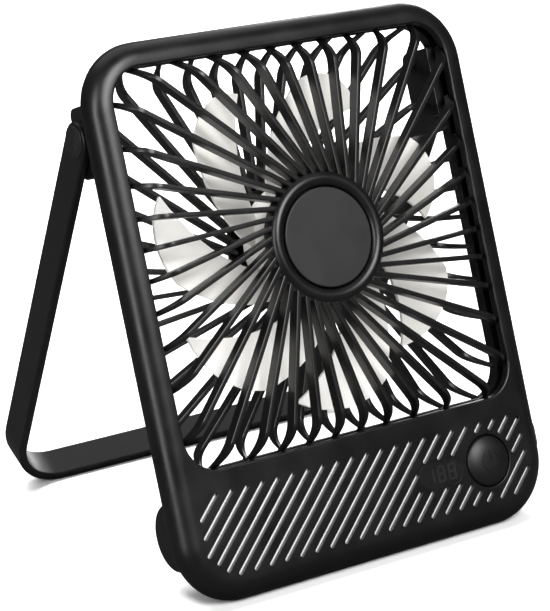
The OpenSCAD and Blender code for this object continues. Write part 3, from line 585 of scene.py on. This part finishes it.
def battery_tube():
    """The round tube across the lower back that holds the cells."""
    bm = bmesh.new()
    half = BLOCK_OUT - 2
    lathe(bm, [(0, -half)] + arc(TUBE_R - 1, 1 - half, 1, -90, 0, 6)
          + arc(TUBE_R - 1, half - 1, 1, 0, 90, 6) + [(0, half)], 96)
    bmesh.ops.transform(bm, matrix=Matrix.Rotation(math.radians(90), 4, "Z"), verts=bm.verts)
    cut = FRAME_D - PLATE_T - HINGE_Y
    bmesh.ops.bisect_plane(bm, geom=bm.verts[:] + bm.edges[:] + bm.faces[:], plane_co=(0, cut, 0),
                           plane_no=(0, -1, 0), clear_outer=True)
    bmesh.ops.holes_fill(bm, edges=bm.edges)
    place = PLACED @ Matrix.Translation((0, HINGE_Y, TUBE_Z))
    return piece("battery_tube", bm, place, SATIN_BLACK, "body")


def hinge_blocks():
    bm = bmesh.new()
    back = HINGE_Y + BAR_W / 2 - 0.2
    low, high = HINGE_Z - BLOCK_BELOW, HINGE_Z + BLOCK_ABOVE
    for side in (-1, 1):
        size = (BLOCK_W, back - FRAME_D + PLATE_T, high - low)
        place = Matrix.Translation((side * (BLOCK_OUT - BLOCK_W / 2), (back + FRAME_D - PLATE_T) / 2,
                                    (low + high) / 2))
        made = bmesh.ops.create_cube(bm, size=1.0, matrix=place @ Matrix.Diagonal((*size, 1)))
        corners = [v for v in made["verts"] if v.co.y > back - 0.1]
        edges = [e for e in bm.edges if e.verts[0] in corners and e.verts[1] in corners
                 and abs(e.verts[0].co.x - e.verts[1].co.x) > 1]
        bmesh.ops.bevel(bm, geom=edges, offset=BLOCK_ROUND, segments=8, profile=0.5, affect="EDGES",
                        material=-1)
    sharp = [e for e in bm.edges if len(e.link_faces) == 2 and e.calc_face_angle(0) > 1.0]
    bmesh.ops.bevel(bm, geom=sharp, offset=0.35, segments=2, profile=0.5, affect="EDGES", material=-1)
    return piece("hinge_blocks", bm, PLACED, SATIN_BLACK, "body")


# ---------------------------------------------------------------- stand

def bar_section(half_w, steps=4):
    """Section of the stand's flat bar: (across, out) points with rounded edges."""
    r = min(0.9, half_w * 0.8)
    half_t = BAR_T / 2
    points = []
    for i, (sa, so) in enumerate([(1, 1), (-1, 1), (-1, -1), (1, -1)]):
        for k in range(steps + 1):
            a = math.radians(90 * (i + k / steps))
            points.append((sa * (half_w - r) + r * math.cos(a), so * (half_t - r) + r * math.sin(a)))
    return points


def stand_bar():
    """The U-shaped bar: its section is carried down one arm, round the two corners and up the other."""
    bm = bmesh.new()
    half_t, end = BAR_T / 2, BAR_W / 2
    middle_r = CORNER_R - half_t
    stations = []
    for k in range(9):
        a = math.radians(88 * (1 - k / 8))
        stations.append((-BODY_W / 2 + half_t, HINGE_Z + end * math.sin(a), 180, end * math.cos(a)))
    for k in range(13):
        a = 180 + 90 * k / 12
        stations.append((-BODY_W / 2 + CORNER_R + middle_r * math.cos(math.radians(a)),
                         CORNER_R + middle_r * math.sin(math.radians(a)), a, end))
    stations += [(-x, z, 540 - a, h) for x, z, a, h in stations[::-1]]
    loops = []
    for x, z, a, half_w in stations:
        ux, uz = math.cos(math.radians(a)), math.sin(math.radians(a))
        verts = [bm.verts.new((x + o * ux, HINGE_Y + w, z + o * uz)) for w, o in bar_section(half_w)]
        loops.append([bm.edges.new((verts[i - 1], verts[i])) for i in range(len(verts))])
    for a, b in zip(loops, loops[1:]):
        bmesh.ops.bridge_loops(bm, edges=a + b)
    for loop in (loops[0], loops[-1]):
        bmesh.ops.contextual_create(bm, geom=loop)
    return piece("stand_loop", bm, OPENED, SATIN_BLACK, "stand", "stand_bar", angle=50,
                 foot=True)


def pin_heads():
    bm = bmesh.new()
    face = BODY_W / 2 + HEAD_PROUD
    profile = [(0, face)] + arc(HEAD_R - 0.5, face - 0.5, 0.5, 90, 0, 5)
    profile += [(HEAD_R, face - 1.5), (0, face - 1.5)]
    for side in (-1, 1):
        part = bmesh.new()
        lathe(part, profile, 64)
        turn = Matrix.Rotation(math.radians(-90 * side), 4, "Z")
        bmesh.ops.transform(part, matrix=Matrix.Translation((0, HINGE_Y, HINGE_Z)) @ turn, verts=part.verts)
        merge(bm, part)
    return piece("pin_heads", bm, OPENED, MATT_BLACK, "stand")


front_frame()
front_ribs()
hub_ring()
hub_disc()
power_button()
power_symbol()
display_digits()
display_window()
accent_plate()
rear_housing()
rear_ribs()
motor_plate()
battery_tube()
hinge_blocks()
stand_bar()
pin_heads()


# ---------------------------------------------------------------- stage, light and camera

def desk():
    bm = bmesh.new()
    bmesh.ops.create_grid(bm, x_segments=1, y_segments=1, size=4.0)
    mesh = bpy.data.meshes.new("desk")
    bm.to_mesh(mesh)
    bm.free()
    mat = bpy.data.materials.new("white_table")
    mat.use_nodes = True
    tree = mat.node_tree
    tree.nodes.clear()
    seen = add(tree, "ShaderNodeBsdfDiffuse", Color=linear("#f6f6f6"))
    mirrored = add(tree, "ShaderNodeBsdfDiffuse", Color=linear("#3a3a3a"))
    ray = add(tree, "ShaderNodeLightPath")
    mix = add(tree, "ShaderNodeMixShader", {"Fac": ray.outputs["Is Glossy Ray"]})
    tree.links.new(seen.outputs["BSDF"], mix.inputs[1])
    tree.links.new(mirrored.outputs["BSDF"], mix.inputs[2])
    add(tree, "ShaderNodeOutputMaterial", {"Surface": mix.outputs["Shader"]})
    mesh.materials.append(mat)
    obj = bpy.data.objects.new("desk", mesh)
    bpy.context.scene.collection.objects.link(obj)


def softbox(name, azimuth, elevation, distance, width, height, power, mirrored=True):
    """A rectangular soft light aimed at the middle of the fan. mirrored lets glossy faces reflect it."""
    data = bpy.data.lights.new(name, "AREA")
    data.shape, data.size, data.size_y, data.energy = "RECTANGLE", width, height, power
    lamp = bpy.data.objects.new(name, data)
    a, e = math.radians(azimuth), math.radians(elevation)
    back = Vector((math.sin(a) * math.cos(e), -math.cos(a) * math.cos(e), math.sin(e)))
    lamp.location = Vector((0, -0.02, 0.09)) + back * distance
    lamp.rotation_mode = "QUATERNION"
    lamp.rotation_quaternion = back.to_track_quat("Z", "Y")
    lamp.visible_glossy = mirrored
    bpy.context.scene.collection.objects.link(lamp)


def surroundings():
    """A plain pale room: white behind the fan, dimmer where it lights it."""
    world = bpy.data.worlds.new("studio")
    world.use_nodes = True
    tree = world.node_tree
    tree.nodes.clear()
    seen = add(tree, "ShaderNodeBackground", Color=(1, 1, 1, 1), Strength=1.0)
    room = add(tree, "ShaderNodeBackground", Color=(1, 1, 1, 1), Strength=0.06)
    ray = add(tree, "ShaderNodeLightPath")
    mix = add(tree, "ShaderNodeMixShader", {"Fac": ray.outputs["Is Camera Ray"]})
    tree.links.new(room.outputs["Background"], mix.inputs[1])
    tree.links.new(seen.outputs["Background"], mix.inputs[2])
    add(tree, "ShaderNodeOutputWorld", {"Surface": mix.outputs["Shader"]})
    bpy.context.scene.world = world


def camera():
    """The camera stands front left of the fan and a little above it."""
    data = bpy.data.cameras.new("camera")
    focal_px, image_w, image_h = 2330.2, 550, 611
    data.sensor_fit = "VERTICAL"
    data.sensor_height = 24.0
    data.lens = focal_px / image_h * data.sensor_height
    data.clip_start = 0.01
    cam = bpy.data.objects.new("camera", data)
    azimuth, elevation, roll = math.radians(-32.811), math.radians(18.813), math.radians(-0.922)
    back = Vector((math.sin(azimuth) * math.cos(elevation), -math.cos(azimuth) * math.cos(elevation),
                   math.sin(elevation)))
    cam.location = Vector((-0.41899, -0.65533, 0.33808))
    cam.rotation_mode = "QUATERNION"
    cam.rotation_quaternion = back.to_track_quat("Z", "Y") @ Matrix.Rotation(roll, 4, "Z").to_quaternion()
    bpy.context.scene.collection.objects.link(cam)
    bpy.context.scene.camera = cam


desk()
surroundings()
camera()
# Each softbox: azimuth and elevation in degrees, distance, width and height in metres, watts
softbox("front_box", 3, 42, 1.2, 0.66, 0.72, 16)
softbox("left_strip", -65, 22, 1.1, 0.26, 0.9, 5.5)
softbox("right_strip", 138, 12, 1.1, 0.3, 0.6, 4)
softbox("rear_card", 165, 60, 1.4, 1.5, 1.2, 4)
softbox("back_box", 180, 62, 1.3, 1.3, 1.1, 50, mirrored=False)
bpy.context.scene.view_settings.view_transform = "Standard"
